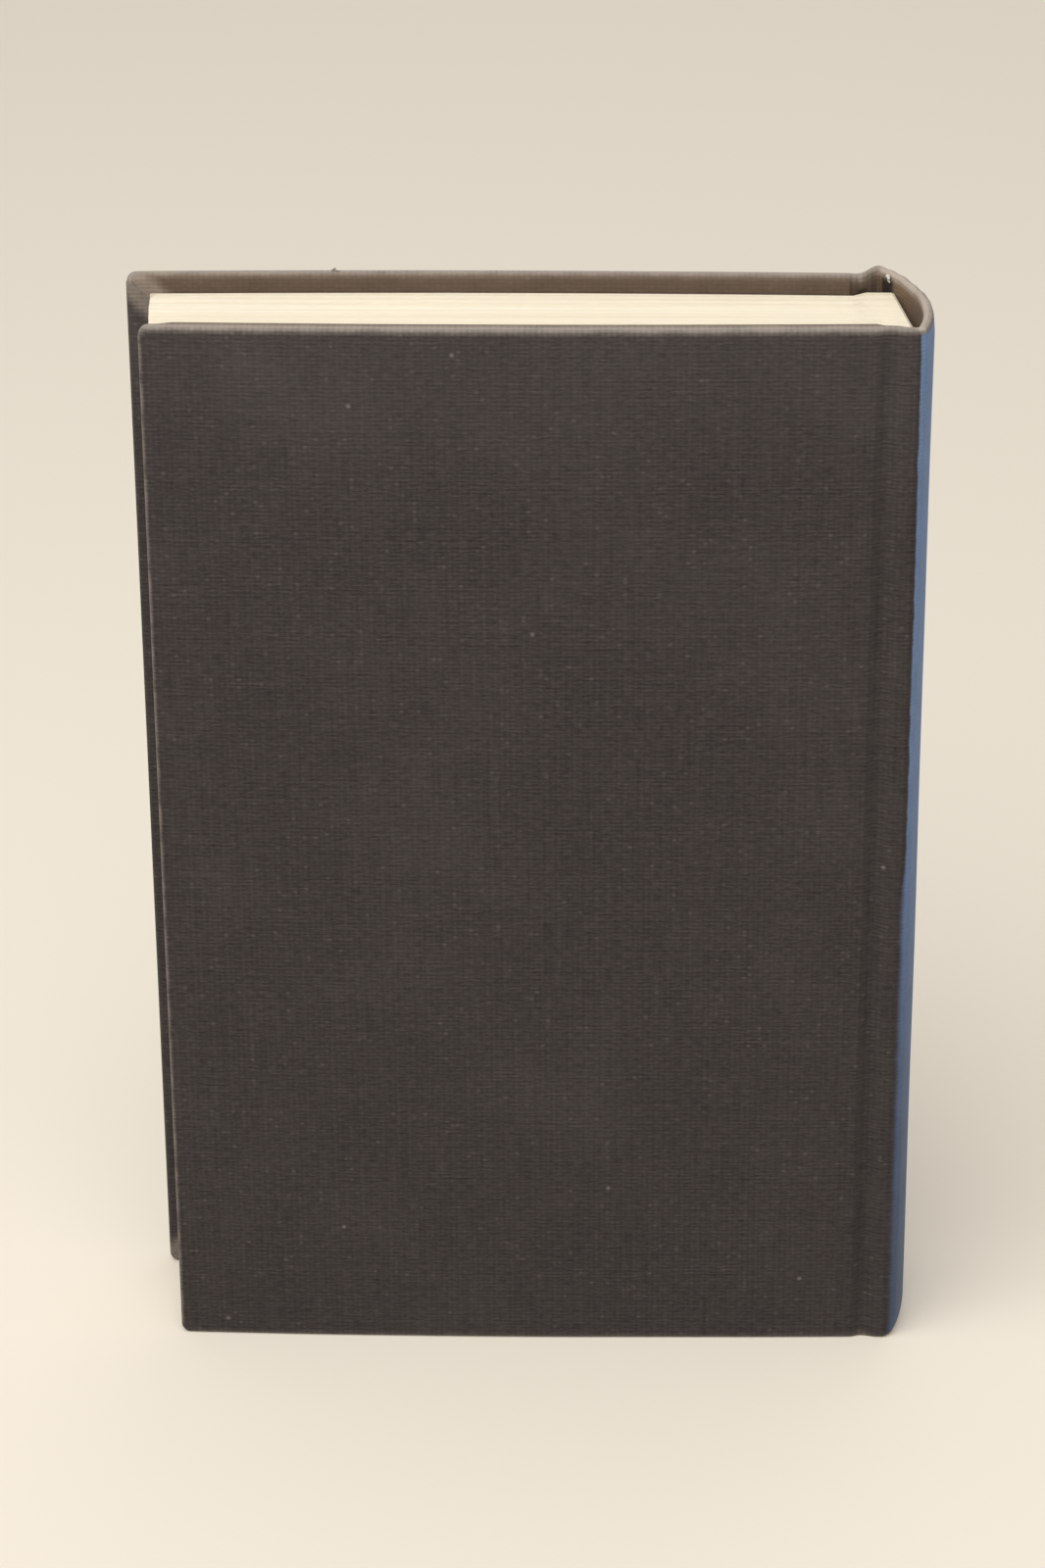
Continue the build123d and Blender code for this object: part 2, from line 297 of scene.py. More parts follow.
class Grid:
    """Collects points with cloth coordinates, and faces between them."""

    def __init__(self):
        self.points, self.cloth, self.faces = [], [], []

    def add(self, points, cloth):
        """Adds a block of points of shape (rows, columns, 3) and returns their numbers."""
        first = len(self.points)
        rows, cols = points.shape[:2]
        self.points.extend(points.reshape(-1, 3).tolist())
        self.cloth.extend(cloth.reshape(-1, 2).tolist())
        return np.arange(first, first + rows * cols).reshape(rows, cols)

    def skin(self, numbers, flip=False):
        """Faces over a block of point numbers."""
        a, b, c, d = numbers[:-1, :-1], numbers[1:, :-1], numbers[1:, 1:], numbers[:-1, 1:]
        order = (a, b, c, d) if flip else (a, d, c, b)
        self.faces.extend(np.stack(order, -1).reshape(-1, 4).tolist())

    def build(self, name, weld=2e-6, smooth=True):
        """Makes the mesh object, with the map named Cloth in metres."""
        mesh = bpy.data.meshes.new(name)
        mesh.from_pydata([tuple(c * MM for c in p) for p in self.points], [], self.faces)
        mesh.uv_layers.new(name="Cloth")
        loops = np.empty(len(mesh.loops), np.int64)
        mesh.loops.foreach_get("vertex_index", loops)
        mesh.uv_layers["Cloth"].uv.foreach_set("vector", (np.array(self.cloth)[loops] * MM).ravel())
        bm = bmesh.new()
        bm.from_mesh(mesh)
        bmesh.ops.remove_doubles(bm, verts=bm.verts, dist=weld)
        bmesh.ops.dissolve_degenerate(bm, edges=bm.edges, dist=weld / 2)
        bm.to_mesh(mesh)
        bm.free()
        mesh.polygons.foreach_set("use_smooth", [smooth] * len(mesh.polygons))
        mesh.update()
        return linked(name, mesh)


def rows_along(height):
    """Heights of the rows of points between the two edge bands."""
    ends = np.array([0.0, 0.8, 1.8])
    inner = np.linspace(3.0, height - 2 * EDGE_BAND - 3.0, COLUMN_ROWS)
    return EDGE_BAND + np.concatenate([ends, inner, height - 2 * EDGE_BAND - ends[::-1]])


def column_points(case, column, side, u, zs):
    """Points of one column from the folded part at the tail, over the outer face, to that at the head."""
    sizes, height, roll = case.s, case.height, column.roll
    edge, inner = case.wall(column, side)
    reach = sizes.turn_in
    if column.wall_x <= case.joint[side]:
        reach = max(EDGE_BAND, min(reach, column.x - case.fore[side]))
    profile = edge_profile(edge, sizes.edge_radius, sizes.turn_in, inner)
    inset, depth, run = np.minimum(profile[:, 0], reach), profile[:, 1], profile[:, 2]
    z = np.concatenate([inset[::-1], zs[1:-1], height - inset])
    v = np.concatenate([EDGE_BAND - run[::-1], zs[1:-1], height - EDGE_BAND + run])
    deep = np.concatenate([depth[::-1], np.zeros(len(zs) - 2), depth])
    outer = np.clip(1 - deep / SKIN_DEPTH, 0, 1)
    lower = np.clip(1 - z / height, 0, 1)
    groove = sizes.groove_head + (sizes.groove_tail - sizes.groove_head) * lower**0.8
    fade = 0.5 + 0.5 * np.clip(np.minimum(z, height - z) / 7.0, 0, 1)
    sunk = column.dip * groove * fade
    move = sunk * outer + ripple(u, v) * outer
    near_head, near_tail = (np.clip(1 - gap / BUMP_REACH, 0, 1) for gap in (height - z, z))
    if roll:  # the spine stands a little proud, and its ends are bumped in and rubbed down
        move = move + roll * (0.45 * near_head**2 + 0.7 * near_tail**2 - sizes.spine_swell)
        dent = 0.16 * math.sin(u / 3.1) + 0.10 * math.sin(u / 1.7 + 1.0) + 0.07 * math.sin(u / 0.61)
        z = z + roll * (near_tail * 0.5 + near_head * (dent - 0.28))
    ear = ease(column.x, case.joint[FRONT] + 1.2, case.roll[FRONT][0][0]) * ease(column.y, 4.0, 12.0)
    z = z + near_head * sizes.far_rise * ear
    total = deep + move
    if column.wall_x > case.joint[side]:  # in the groove, the folded cloth stays behind the outer face
        total = np.where(deep > 0.5, np.maximum(total, sunk + 0.4), total)
    pts = np.column_stack([column.x + column.in_x * total, column.y + column.in_y * total, z])
    return pts, np.column_stack([np.full(len(v), u), v])


def run_lengths(columns):
    """Distance along the cloth at each column."""
    xy = np.array([(c.x, c.y) for c in columns])
    return np.concatenate([[0.0], np.cumsum(np.hypot(*np.diff(xy, axis=0).T))])


def case_lengths(case):
    """Distances along the cloth: where the back cover's run, the spine's and the front cover's start."""
    back = run_lengths(case.cover_run(BACK))[-1]
    spine = run_lengths(case.spine_run())[-1]
    front = run_lengths(case.cover_run(FRONT))[-1]
    return EDGE_BAND + back, EDGE_BAND + back + spine, 2 * EDGE_BAND + back + spine + front


def corner_path(inset, radius):
    """Path round a corner, square on to the cover, at an inset: distances from the fore-edge and the tail."""
    steps = CORNER_STEPS
    if inset >= EDGE_BAND:
        return np.full((steps, 2), EDGE_BAND)
    if inset >= radius:
        return np.array([(EDGE_BAND, inset)] + [(inset, inset)] * (steps - 2) + [(inset, EDGE_BAND)])
    r = radius - inset
    turn = np.linspace(0, math.pi / 2, steps - 2)
    bend = np.column_stack([radius - r * np.sin(turn), radius - r * np.cos(turn)])
    return np.vstack([(EDGE_BAND, inset), bend, (inset, EDGE_BAND)])


def build_cover(case, side, name):
    """The cloth of one cover and its joint: outer face, rounded edges and corners, and folded-in cloth."""
    grid = Grid()
    columns = case.cover_run(side)
    total = case_lengths(case)[2]
    along = run_lengths(columns) + EDGE_BAND
    us = along if side == BACK else total - along
    zs = rows_along(case.height)
    pts, cloth = zip(*(column_points(case, c, side, u, zs) for c, u in zip(columns, us)))
    grid.skin(grid.add(np.array(pts), np.array(cloth)), flip=side == BACK)

    # the fore-edge and the two corners, ring by ring from the outer face to the inside
    s, fore, height, inner_zs = case.s, case.fore[side], case.height, zs[1:-1]
    rings, ring_cloth = [], []
    for inset, depth, run in edge_profile(case.thick, s.edge_radius, s.turn_in, case.thick):
        path = corner_path(inset, s.corner_radius)
        turn = np.linspace(math.pi / 2, 0, len(path))
        tail_uv = EDGE_BAND - run * np.column_stack([np.cos(turn), np.sin(turn)])
        side_xz = np.column_stack([np.minimum(inset, np.minimum(inner_zs, height - inner_zs)), inner_zs])
        side_uv = np.column_stack([np.full(len(inner_zs), EDGE_BAND - run), inner_zs])
        flip_z = np.array([0.0, height])
        xz = np.vstack([path, side_xz, flip_z + path[::-1] * (1, -1)])
        uv = np.vstack([tail_uv, side_uv, flip_z + tail_uv[::-1] * (1, -1)])
        u_real = uv[:, 0] if side == BACK else total - uv[:, 0]
        move = depth + ripple(u_real, uv[:, 1]) * np.clip(1 - depth / SKIN_DEPTH, 0, 1)
        x = fore + xz[:, 0]
        rings.append(np.column_stack([x, case.face(x, side) - side * move, xz[:, 1]]))
        ring_cloth.append(np.column_stack([u_real, uv[:, 1]]))
    grid.skin(grid.add(np.array(rings), np.array(ring_cloth)), flip=side == FRONT)
    return grid.build(name)


def build_spine(case):
    """The cloth over the spine's round, folded in at head and tail."""
    grid = Grid()
    columns = case.spine_run()
    us = run_lengths(columns) + case_lengths(case)[0]
    zs = rows_along(case.height)
    pts, cloth = zip(*(column_points(case, c, BACK, u, zs) for c, u in zip(columns, us)))
    grid.skin(grid.add(np.array(pts), np.array(cloth)), flip=True)
    return grid.build("spine_cloth_skin")


# ---------------------------------------------------------------- shader helpers


class Graph:
    """Short ways to add and join shader nodes."""

    def __init__(self, tree):
        self.tree = tree

    def node(self, kind, **values):
        """Adds a node. Values name its properties, or its sockets by their label with _ for a space."""
        made = self.tree.nodes.new(kind)
        for key, value in values.items():
            if hasattr(made, key):
                setattr(made, key, value)
            else:
                self.put(made.inputs[key.replace("_", " ")], value)
        return made

    def put(self, socket, value):
        """Joins a socket to another, or sets its value."""
        if isinstance(value, bpy.types.NodeSocket):
            self.tree.links.new(value, socket)
        elif socket.type == "RGBA" and len(value) == 3:
            socket.default_value = (*value, 1.0)
        else:
            socket.default_value = value

    def math(self, operation, a, b=None, c=None, clamp=False):
        """A Math node's result."""
        made = self.tree.nodes.new("ShaderNodeMath")
        made.operation = operation
        made.use_clamp = clamp
        for socket, value in zip(made.inputs, (a, b, c)):
            if value is not None:
                self.put(socket, value)
        return made.outputs[0]

    def times(self, a, b, clamp=False):
        """A product."""
        return self.math("MULTIPLY", a, b, clamp=clamp)

    def plus(self, a, b):
        """A sum."""
        return self.math("ADD", a, b)

    def minus(self, a, b, clamp=False):
        """A difference."""
        return self.math("SUBTRACT", a, b, clamp=clamp)

    def absolute(self, a):
        """A value without its sign."""
        return self.math("ABSOLUTE", a)

    def mix(self, factor, a, b):
        """A colour mix."""
        made = self.tree.nodes.new("ShaderNodeMix")
        made.data_type = "RGBA"
        made.clamp_factor = True
        self.put(made.inputs[0], factor)
        self.put(made.inputs[6], a)
        self.put(made.inputs[7], b)
        return made.outputs[2]

    def ramp(self, value, low, high):
        """A smooth step from 0 at low to 1 at high."""
        made = self.tree.nodes.new("ShaderNodeMapRange")
        made.interpolation_type = "SMOOTHSTEP"
        for socket, v in zip(made.inputs[:5], (value, low, high, 0.0, 1.0)):
            self.put(socket, v)
        return made.outputs[0]

    def noise(self, vector, scale, detail=2.0, rough=0.5):
        """A noise texture's value."""
        values = {"Vector": vector, "Scale": scale, "Detail": detail, "Roughness": rough}
        return self.node("ShaderNodeTexNoise", **values).outputs[0]

    def scaled(self, vector, scale):
        """A vector stretched along its axes."""
        made = self.tree.nodes.new("ShaderNodeVectorMath")
        made.operation = "MULTIPLY"
        self.put(made.inputs[0], vector)
        made.inputs[1].default_value = scale
        return made.outputs[0]


def shades(colour, *levels):
    """A colour at each of some levels of brightness."""
    return [tuple(channel * level for channel in colour) for level in levels]


def seen_directly(g):
    """1 where a surface is seen straight, in gloss or through glass, and 0 where it only lights others."""
    path = g.node("ShaderNodeLightPath")
    seen = g.math("MAXIMUM", path.outputs["Is Camera Ray"], path.outputs["Is Glossy Ray"])
    return g.math("MAXIMUM", seen, path.outputs["Is Transmission Ray"])


FLOAT, VECTOR = "NodeSocketFloat", "NodeSocketVector"


def shared_group(name, inputs, outputs, make):
    """A shader node group, built once. make(graph, its inputs) gives its outputs in order."""
    tree = bpy.data.node_groups.get(name)
    if tree:
        return tree
    tree = bpy.data.node_groups.new(name, "ShaderNodeTree")
    for label, value in inputs.items():
        kind = VECTOR if value is None else FLOAT
        socket = tree.interface.new_socket(label, in_out="INPUT", socket_type=kind)
        if value is not None:
            socket.default_value = value
    for label in outputs:
        tree.interface.new_socket(label, in_out="OUTPUT", socket_type=FLOAT)
    g = Graph(tree)
    here, out = tree.nodes.new("NodeGroupInput").outputs, tree.nodes.new("NodeGroupOutput")
    for label, value in zip(outputs, make(g, here)):
        g.put(out.inputs[label], value)
    return tree


def weave(g, here):
    """Plain weave with uneven threads: height, thread shade and slubs."""
    cloth = here["Cloth"]
    bend = g.noise(cloth, 160.0, 2.0)
    bend_b = g.noise(cloth, 95.0, 1.0)
    parts = g.node("ShaderNodeSeparateXYZ", Vector=cloth)
    wobble = g.times(here["Wobble"], 6.0)
    off_u = g.times(g.minus(bend, 0.5), wobble)
    off_v = g.times(g.minus(bend_b, 0.5), wobble)
    a = g.math("DIVIDE", g.plus(parts.outputs["Y"], off_v), here["Weft pitch"])
    b = g.math("DIVIDE", g.plus(parts.outputs["X"], off_u), here["Warp pitch"])
    row, column = g.math("FLOOR", a), g.math("FLOOR", b)
    across_row = g.minus(g.math("FRACT", a), 0.5)
    across_column = g.minus(g.math("FRACT", b), 0.5)
    row_round = g.math("COSINE", g.times(across_row, math.pi))
    column_round = g.math("COSINE", g.times(across_column, math.pi))
    even = g.math("MULTIPLY_ADD", g.math("SINE", g.times(g.plus(b, row), math.pi)), 0.12, 0.88)
    weft = g.times(g.math("POWER", row_round, 1.4), even)
    warp = g.math("POWER", column_round, 1.8)
    cross = g.times(weft, warp)
    height = g.plus(g.math("MULTIPLY_ADD", weft, 0.50, g.times(warp, 0.22)), g.times(cross, 0.28))
    # threads differ in weight: a slow noise that is stretched along each thread
    weft_run = g.noise(g.scaled(cloth, (70.0, 1250.0, 1.0)), 1.0, 2.0)
    warp_run = g.noise(g.scaled(cloth, (950.0, 60.0, 1.0)), 1.0, 2.0)
    strand = g.noise(g.scaled(cloth, (1500.0, 2600.0, 1.0)), 1.0, 2.0, 0.6)
    float_run = g.noise(g.scaled(cloth, (520.0, 2300.0, 1.0)), 1.0, 3.0, 0.65)
    shade = g.math("MULTIPLY_ADD", height, 0.24, 0.36)
    for run, strength in ((weft_run, 0.45), (warp_run, 0.32), (strand, 0.55), (float_run, 1.5)):
        shade = g.plus(shade, g.times(g.minus(run, 0.5), strength))
    both = g.node("ShaderNodeCombineXYZ", X=g.plus(column, 0.5), Y=g.plus(row, 0.5))
    cell = g.node("ShaderNodeTexWhiteNoise", noise_dimensions="2D", Vector=both.outputs[0])
    knot = g.times(g.times(row_round, column_round), g.ramp(cell.outputs["Value"], 0.96, 1.0))
    return height, shade, knot


def wear(g, here):
    """Rubbing along edges: a mask from the distance to an edge, broken up by noise."""
    patches = g.noise(here["Cloth"], 210.0, 4.0, 0.62)
    near = g.minus(1.0, g.math("DIVIDE", here["Distance"], here["Width"]), clamp=True)
    loss = g.times(g.minus(patches, 0.5), g.times(here["Breakup"], 2.4))
    lift = g.times(g.minus(here["Raised"], 0.5), 0.25)
    mask = g.times(near, g.plus(g.plus(loss, lift), 0.85), clamp=True)
    return (g.ramp(mask, 0.12, 0.85),)


def scuffs(g, here):
    """Dust and faint rubs spread over a face."""
    big = g.noise(here["Cloth"], here["Scale"], 3.0, 0.55)
    fine = g.noise(here["Cloth"], g.times(here["Scale"], 9.0), 3.0, 0.6)
    haze = g.times(g.ramp(big, 0.42, 0.72), g.math("MULTIPLY_ADD", fine, 0.8, 0.3))
    dots = g.node("ShaderNodeTexVoronoi", voronoi_dimensions="2D", Vector=here["Cloth"], Scale=210.0)
    dot = g.ramp(dots.outputs["Distance"], 0.13, 0.03)
    sort = g.node("ShaderNodeSeparateColor", Color=dots.outputs["Color"])
    kept = g.math("GREATER_THAN", sort.outputs[0], 0.992)
    return haze, g.times(dot, kept)


def fibre(g, here):
    """Paper or board: soft mottling and a fine tooth."""
    tooth = g.noise(here["Place"], here["Tooth"], 3.0, 0.6)
    mottle = g.noise(here["Place"], here["Mottle"], 4.0, 0.6)
    return tooth, g.math("MULTIPLY_ADD", tooth, 0.35, g.times(mottle, 0.65))


# each effect that materials share: its group's name, inputs with their usual values, outputs and maker
WEAVE = (
    "Plain weave",
    {"Cloth": None, "Weft pitch": 0.0008, "Warp pitch": 0.00105, "Wobble": 0.00004},
    ("Height", "Shade", "Knot"),
    weave,
)
WEAR = (
    "Edge wear",
    {"Distance": 0.01, "Cloth": None, "Width": 0.0012, "Breakup": 0.5, "Raised": 0.5},
    ("Mask",),
    wear,
)
SCUFFS = "Scuffs and dust", {"Cloth": None, "Scale": 30.0}, ("Haze", "Specks"), scuffs
FIBRE = "Paper fibre", {"Place": None, "Tooth": 2600.0, "Mottle": 60.0}, ("Height", "Mottling"), fibre


def use_group(g, effect, **values):
    """Places an effect's group in a graph."""
    return g.node("ShaderNodeGroup", node_tree=shared_group(*effect), **values).outputs


def new_material(name, roughness, specular=0.3):
    """An empty material with its graph and Principled shader."""
    material = bpy.data.materials.new(name)
    material.use_nodes = True
    tree = material.node_tree
    tree.nodes.clear()
    g = Graph(tree)
    shader = g.node("ShaderNodeBsdfPrincipled", Roughness=roughness, Specular_IOR_Level=specular)
    g.node("ShaderNodeOutputMaterial", Surface=shader.outputs[0])
    return material, g, shader


def bumped(g, shader, height, distance, strength=1.0):
    """Feeds a height to the shader's normal."""
    bump = g.node("ShaderNodeBump", Strength=strength, Distance=distance, Height=height)
    g.put(shader.inputs["Normal"], bump.outputs[0])


def cloth_material(case, colours):
    """Coarse dyed cloth, rubbed at its edges, with a plain printed field on the spine."""
    known = bpy.data.materials.get("book_cloth_weave")
    if known:
        return known
    material, g, shader = new_material("book_cloth_weave", 0.82, 0.22)
    shader.inputs["Sheen Weight"].default_value = 0.10
    shader.inputs["Sheen Roughness"].default_value = 0.5
    place = g.node("ShaderNodeUVMap", uv_map="Cloth").outputs[0]
    parts = g.node("ShaderNodeSeparateXYZ", Vector=place)
    u, v = parts.outputs["X"], parts.outputs["Y"]
    start, spine_end, total = (x * MM for x in case_lengths(case))
    middle_v, middle_u = case.height / 2 * MM, (start + spine_end) / 2
    # distances along the cloth, below zero once it has turned over the edge
    to_end = g.minus(middle_v, g.absolute(g.minus(v, middle_v)))
    to_fore = g.minus(total / 2, g.absolute(g.minus(u, total / 2)))
    from_middle = g.absolute(g.minus(u, middle_u))
    half = (spine_end - start) / 2 + case.s.roll_radius * 0.66 * MM

    pitches = {"Weft_pitch": colours.weft_pitch, "Warp_pitch": colours.warp_pitch}
    threads = use_group(g, WEAVE, Cloth=place, **pitches)
    dust = use_group(g, SCUFFS, Cloth=place, Scale=28.0)
    dark, light = shades(colours.ground, 0.36, 1.62)
    ground = g.mix(g.times(threads["Shade"], 1.0, clamp=True), dark, light)
    ground = g.mix(g.times(dust["Haze"], 0.12), ground, (0.16, 0.145, 0.135))
    ground = g.mix(g.times(threads["Knot"], 0.33), ground, (0.19, 0.17, 0.155))
    # painted light: the cloth is lightened over its top 36 mm towards the head, as if lit more from above
    ground = g.mix(g.times(g.ramp(v, 0.180, 0.216), 0.10), ground, (0.17, 0.155, 0.15))

    # the printed field on the spine, its edge uneven and its ends worn away, with painted shade darkening it
    # towards the tail
    ragged = g.times(g.minus(g.noise(place, 260.0, 3.0), 0.5), 0.0006)
    slow = g.times(g.minus(g.noise(place, 22.0, 2.0), 0.5), 0.0009)
    low_down = g.ramp(g.plus(v, slow), 0.112, 0.096)
    side_gap = g.plus(g.minus(half, from_middle), g.plus(ragged, slow))
    side_gap = g.math("MULTIPLY_ADD", low_down, 0.0010, side_gap)
    in_side = g.ramp(side_gap, 0.0, g.math("MULTIPLY_ADD", low_down, 0.0011, 0.00055))
    in_end = g.ramp(g.plus(to_end, ragged), 0.0002, 0.0016)
    panel = g.times(in_side, in_end)
    patch = g.noise(place, 120.0, 4.0, 0.6)
    tone = g.math("MULTIPLY_ADD", patch, 0.7, g.times(threads["Shade"], 0.5), clamp=True)
    ink = g.mix(tone, *shades(colours.panel, 0.70, 1.35))
    # painted shade: the field is darkened towards the tail, as the lower spine gets less light
    ink = g.mix(g.times(g.ramp(g.plus(v, slow), 0.150, 0.005), 0.62), ink, dark)
    colour = g.mix(panel, ground, ink)
    rim = g.times(g.ramp(side_gap, -0.0007, 0.0), g.minus(1.0, in_side))
    colour = g.mix(g.times(rim, 0.35), colour, (0.030, 0.024, 0.034))

    # folded-in cloth is tinted brown, most of all inside the spine: there it is the glued back's own colour;
    # on the covers' folded edges the weaker tint is painted warm light reflected from the leaves
    folded = g.ramp(to_end, -0.0012, -0.0022)
    in_spine = g.ramp(g.minus(half, from_middle), -0.0012, 0.0004)
    stain_and_bounce_tone = g.noise(place, 130.0, 4.0, 0.6)
    glue_and_bounce = g.mix(stain_and_bounce_tone, *shades(colours.inside, 0.55, 1.40))
    colour = g.mix(g.times(folded, g.math("MULTIPLY_ADD", in_spine, 0.50, 0.45)), colour, glue_and_bounce)

    # painted shade: near-black in the hollow of the folded cloth beside the front shoulder's ear
    at_ear = g.absolute(g.minus(u, spine_end - 0.0012))
    painted_ear_shade = g.times(g.ramp(g.plus(at_ear, ragged), 0.0024, 0.0010), folded)
    colour = g.mix(g.times(painted_ear_shade, 0.9), colour, (0.010, 0.008, 0.007))

    # rubbing: over the head and tail, along the fore-edges and at the corners
    over_end = g.absolute(g.plus(to_end, 0.0009))
    over_fore = g.absolute(g.plus(to_fore, 0.0003))
    cloth = {"Cloth": place, "Raised": threads["Height"]}
    head = use_group(g, WEAR, Distance=over_end, Width=0.0027, Breakup=0.35, **cloth)
    fore = use_group(g, WEAR, Distance=over_fore, Width=0.0014, Breakup=0.85, **cloth)
    corner = use_group(g, WEAR, Distance=g.plus(to_end, to_fore), Width=0.0045, Breakup=0.6, **cloth)
    at_fore = g.math("MAXIMUM", g.times(fore["Mask"], 0.55), g.times(corner["Mask"], 0.5))
    across = g.math("POWER", g.minus(u, start - 0.0006), 2.0)
    from_nick = g.math("SQRT", g.plus(across, g.math("POWER", g.plus(to_end, 0.0004), 2.0)))
    nick = use_group(g, WEAR, Distance=from_nick, Width=0.0022, Breakup=1.0, **cloth)
    rubbed = g.math("MAXIMUM", g.times(head["Mask"], g.math("MULTIPLY_ADD", in_spine, 0.3, 0.7)), at_fore)
    colour = g.mix(g.times(rubbed, 0.9, clamp=True), colour, colours.worn)
    colour = g.mix(g.times(nick["Mask"], 0.6), colour, (0.60, 0.54, 0.46))

    # painted shade: the dark line in the crevice where the cloth is mitred inside each corner
    apart = g.absolute(g.minus(to_end, to_fore))
    turned = g.ramp(g.math("MAXIMUM", to_end, to_fore), -0.0008, -0.0018)
    mitre_crevice_shade = g.times(g.ramp(g.plus(apart, ragged), 0.0011, 0.0003), turned)
    colour = g.mix(g.times(mitre_crevice_shade, 0.8), colour, (0.012, 0.010, 0.009))

    # flecks where the print has gone, most of them on the spine's crown
    crown = g.ramp(g.absolute(g.minus(u, start + 0.0098)), 0.0050, 0.0008)
    lost = g.ramp(g.noise(g.scaled(place, (1.6, 1.0, 1.0)), 520.0, 3.0, 0.7), 0.66, 0.74)
    where = g.ramp(g.noise(place, 45.0, 1.0), 0.46, 0.60)
    lost = g.times(g.times(lost, where), g.times(crown, panel))
    colour = g.mix(g.times(lost, 0.85), colour, colours.fleck)
    colour = g.mix(g.times(dust["Specks"], 0.5), colour, (0.30, 0.27, 0.24))
    g.put(shader.inputs["Base Color"], colour)
    g.put(shader.inputs["Roughness"], g.minus(0.86, g.times(panel, 0.16)))
    fuzz = g.noise(place, 5200.0, 2.0, 0.6)
    bumped(g, shader, g.math("MULTIPLY_ADD", fuzz, 0.22, threads["Height"]), 0.00006, 0.9)
    return material


def paper_material(name, colour, mottle=0.10, tooth=0.000012, edges=False):
    """Paper or board. With edges on, fine lines run between the leaves."""
    material, g, shader = new_material(name, 0.88, 0.2)
    place = g.node("ShaderNodeTexCoord").outputs["Object"]
    pulp = use_group(g, FIBRE, Place=place, Tooth=2600.0, Mottle=55.0)
    dark, light = shades(colour, 1 - mottle, 1 + mottle)
    shade = g.mix(pulp["Mottling"], dark, tuple(min(1.0, c) for c in light))
    height = pulp["Height"]
    if edges:
        lines = g.noise(g.scaled(place, (9.0, 5200.0, 9.0)), 1.0, 2.0, 0.7)
        bands = g.noise(g.scaled(place, (6.0, 900.0, 6.0)), 1.0, 2.0, 0.6)
        tone = g.math("MULTIPLY_ADD", lines, 0.55, g.times(bands, 0.45))
        between = tuple(c * k for c, k in zip(colour, (0.90, 0.87, 0.80)))
        shade = g.mix(g.ramp(tone, 0.30, 0.62), between, shade)
        height = g.math("MULTIPLY_ADD", lines, 0.6, height)
    g.put(shader.inputs["Base Color"], shade)
    bumped(g, shader, height, tooth * (3 if edges else 1), 0.8)
    return material


def dress(nodes, material):
    """Gives CAD nodes a material."""
    for name in nodes:
        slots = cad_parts[name].data.materials
        slots.clear()
        slots.append(material)


# ---------------------------------------------------------------- operators


def flank(node, side):
    """The outer line of a CAD node in plan, on one side: x and y in millimetres."""
    plan = np.array([v.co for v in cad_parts[node].data.vertices])[:, :2] / MM
    plan = plan[plan[:, 1] * side > 0]
    xs = np.unique(np.round(plan[:, 0], 2))
    pick = np.max if side == FRONT else np.min
    ys = np.array([pick(plan[np.abs(plan[:, 0] - x) < 0.011, 1]) for x in xs])
    return xs, ys


class HARDBACK_OT_leaves(bpy.types.Operator):
    """Build the stack of leaves, each with its own slightly uneven edges"""

    bl_idname = "hardback.leaves"
    bl_label = "Leaves"

    def execute(self, context):
        low, high = box_mm("text_block")
        back_x, back_y = flank("text_block", BACK)
        front_x, front_y = flank("text_block", FRONT)
        rng = np.random.default_rng(7)
        count = context.scene.hardback_sizes.leaves
        edges = np.concatenate([[0.0], np.cumsum(rng.uniform(0.8, 1.2, count))])
        edges /= edges[-1]
        drift = np.cumsum(rng.normal(0, 0.035, count))
        drift -= np.linspace(drift[0], drift[-1], count)
        grid = Grid()
        for i in range(count):
            lower, upper = edges[i] + 0.0004, edges[i + 1] - 0.0004
            share = (lower + upper) / 2
            fore = back_x[0] + (front_x[0] - back_x[0]) * share - 0.9 * share * (1 - share)
            fore += np.clip(drift[i] * 0.6, -0.15, 0.15) + rng.normal(0, 0.03)
            fore += 1.5 * (1 - math.sqrt(1 - ease(share, 0.86, 1.0) ** 2)) + 0.5 * ease(share, 0.10, 0.0)
            end = back_x[-1] + (front_x[-1] - back_x[-1]) * share
            xs = np.concatenate([np.linspace(fore, end - 11, 20), np.linspace(end - 11, end, 16)[1:]])
            y_back, y_front = np.interp(xs, back_x, back_y), np.interp(xs, front_x, front_y)
            top = high[2] + rng.normal(0, 0.022) - 0.03
            bottom = low[2] + rng.normal(0, 0.022) + 0.25
            block = []
            for t, z in ((lower, bottom), (lower, top), (upper, top), (upper, bottom), (lower, bottom)):
                block.append(np.column_stack([xs, y_back + (y_front - y_back) * t, np.full(len(xs), z)]))
            block = np.array(block)
            numbers = grid.add(block, block[:, :, :2].copy())
            grid.skin(numbers)
            grid.faces.append(numbers[:4, 0].tolist())
            grid.faces.append(numbers[:4, -1][::-1].tolist())
        piece = grid.build("leaf_stack", weld=1e-9, smooth=False)
        colour = context.scene.hardback_paper.leaf
        piece.data.materials.append(paper_material("leaf_edges", colour, 0.04, 0.00001, True))
        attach(piece, "block")
        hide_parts("text_block")
        return {"FINISHED"}


class HARDBACK_OT_covers(bpy.types.Operator):
    """Build the cloth of both covers and of their joints"""

    bl_idname = "hardback.covers"
    bl_label = "Cover cloth"

    def execute(self, context):
        case = Case(context.scene.hardback_sizes)
        cloth = cloth_material(case, context.scene.hardback_cloth)
        for side, name, body, node in (
            (BACK, "back_cover_cloth", "back_cover", "back_cloth"),
            (FRONT, "front_cover_cloth", "front_cover", "front_cloth"),
        ):
            piece = build_cover(case, side, name)
            piece.data.materials.append(cloth)
            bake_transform(piece)
            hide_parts(node)
        return {"FINISHED"}


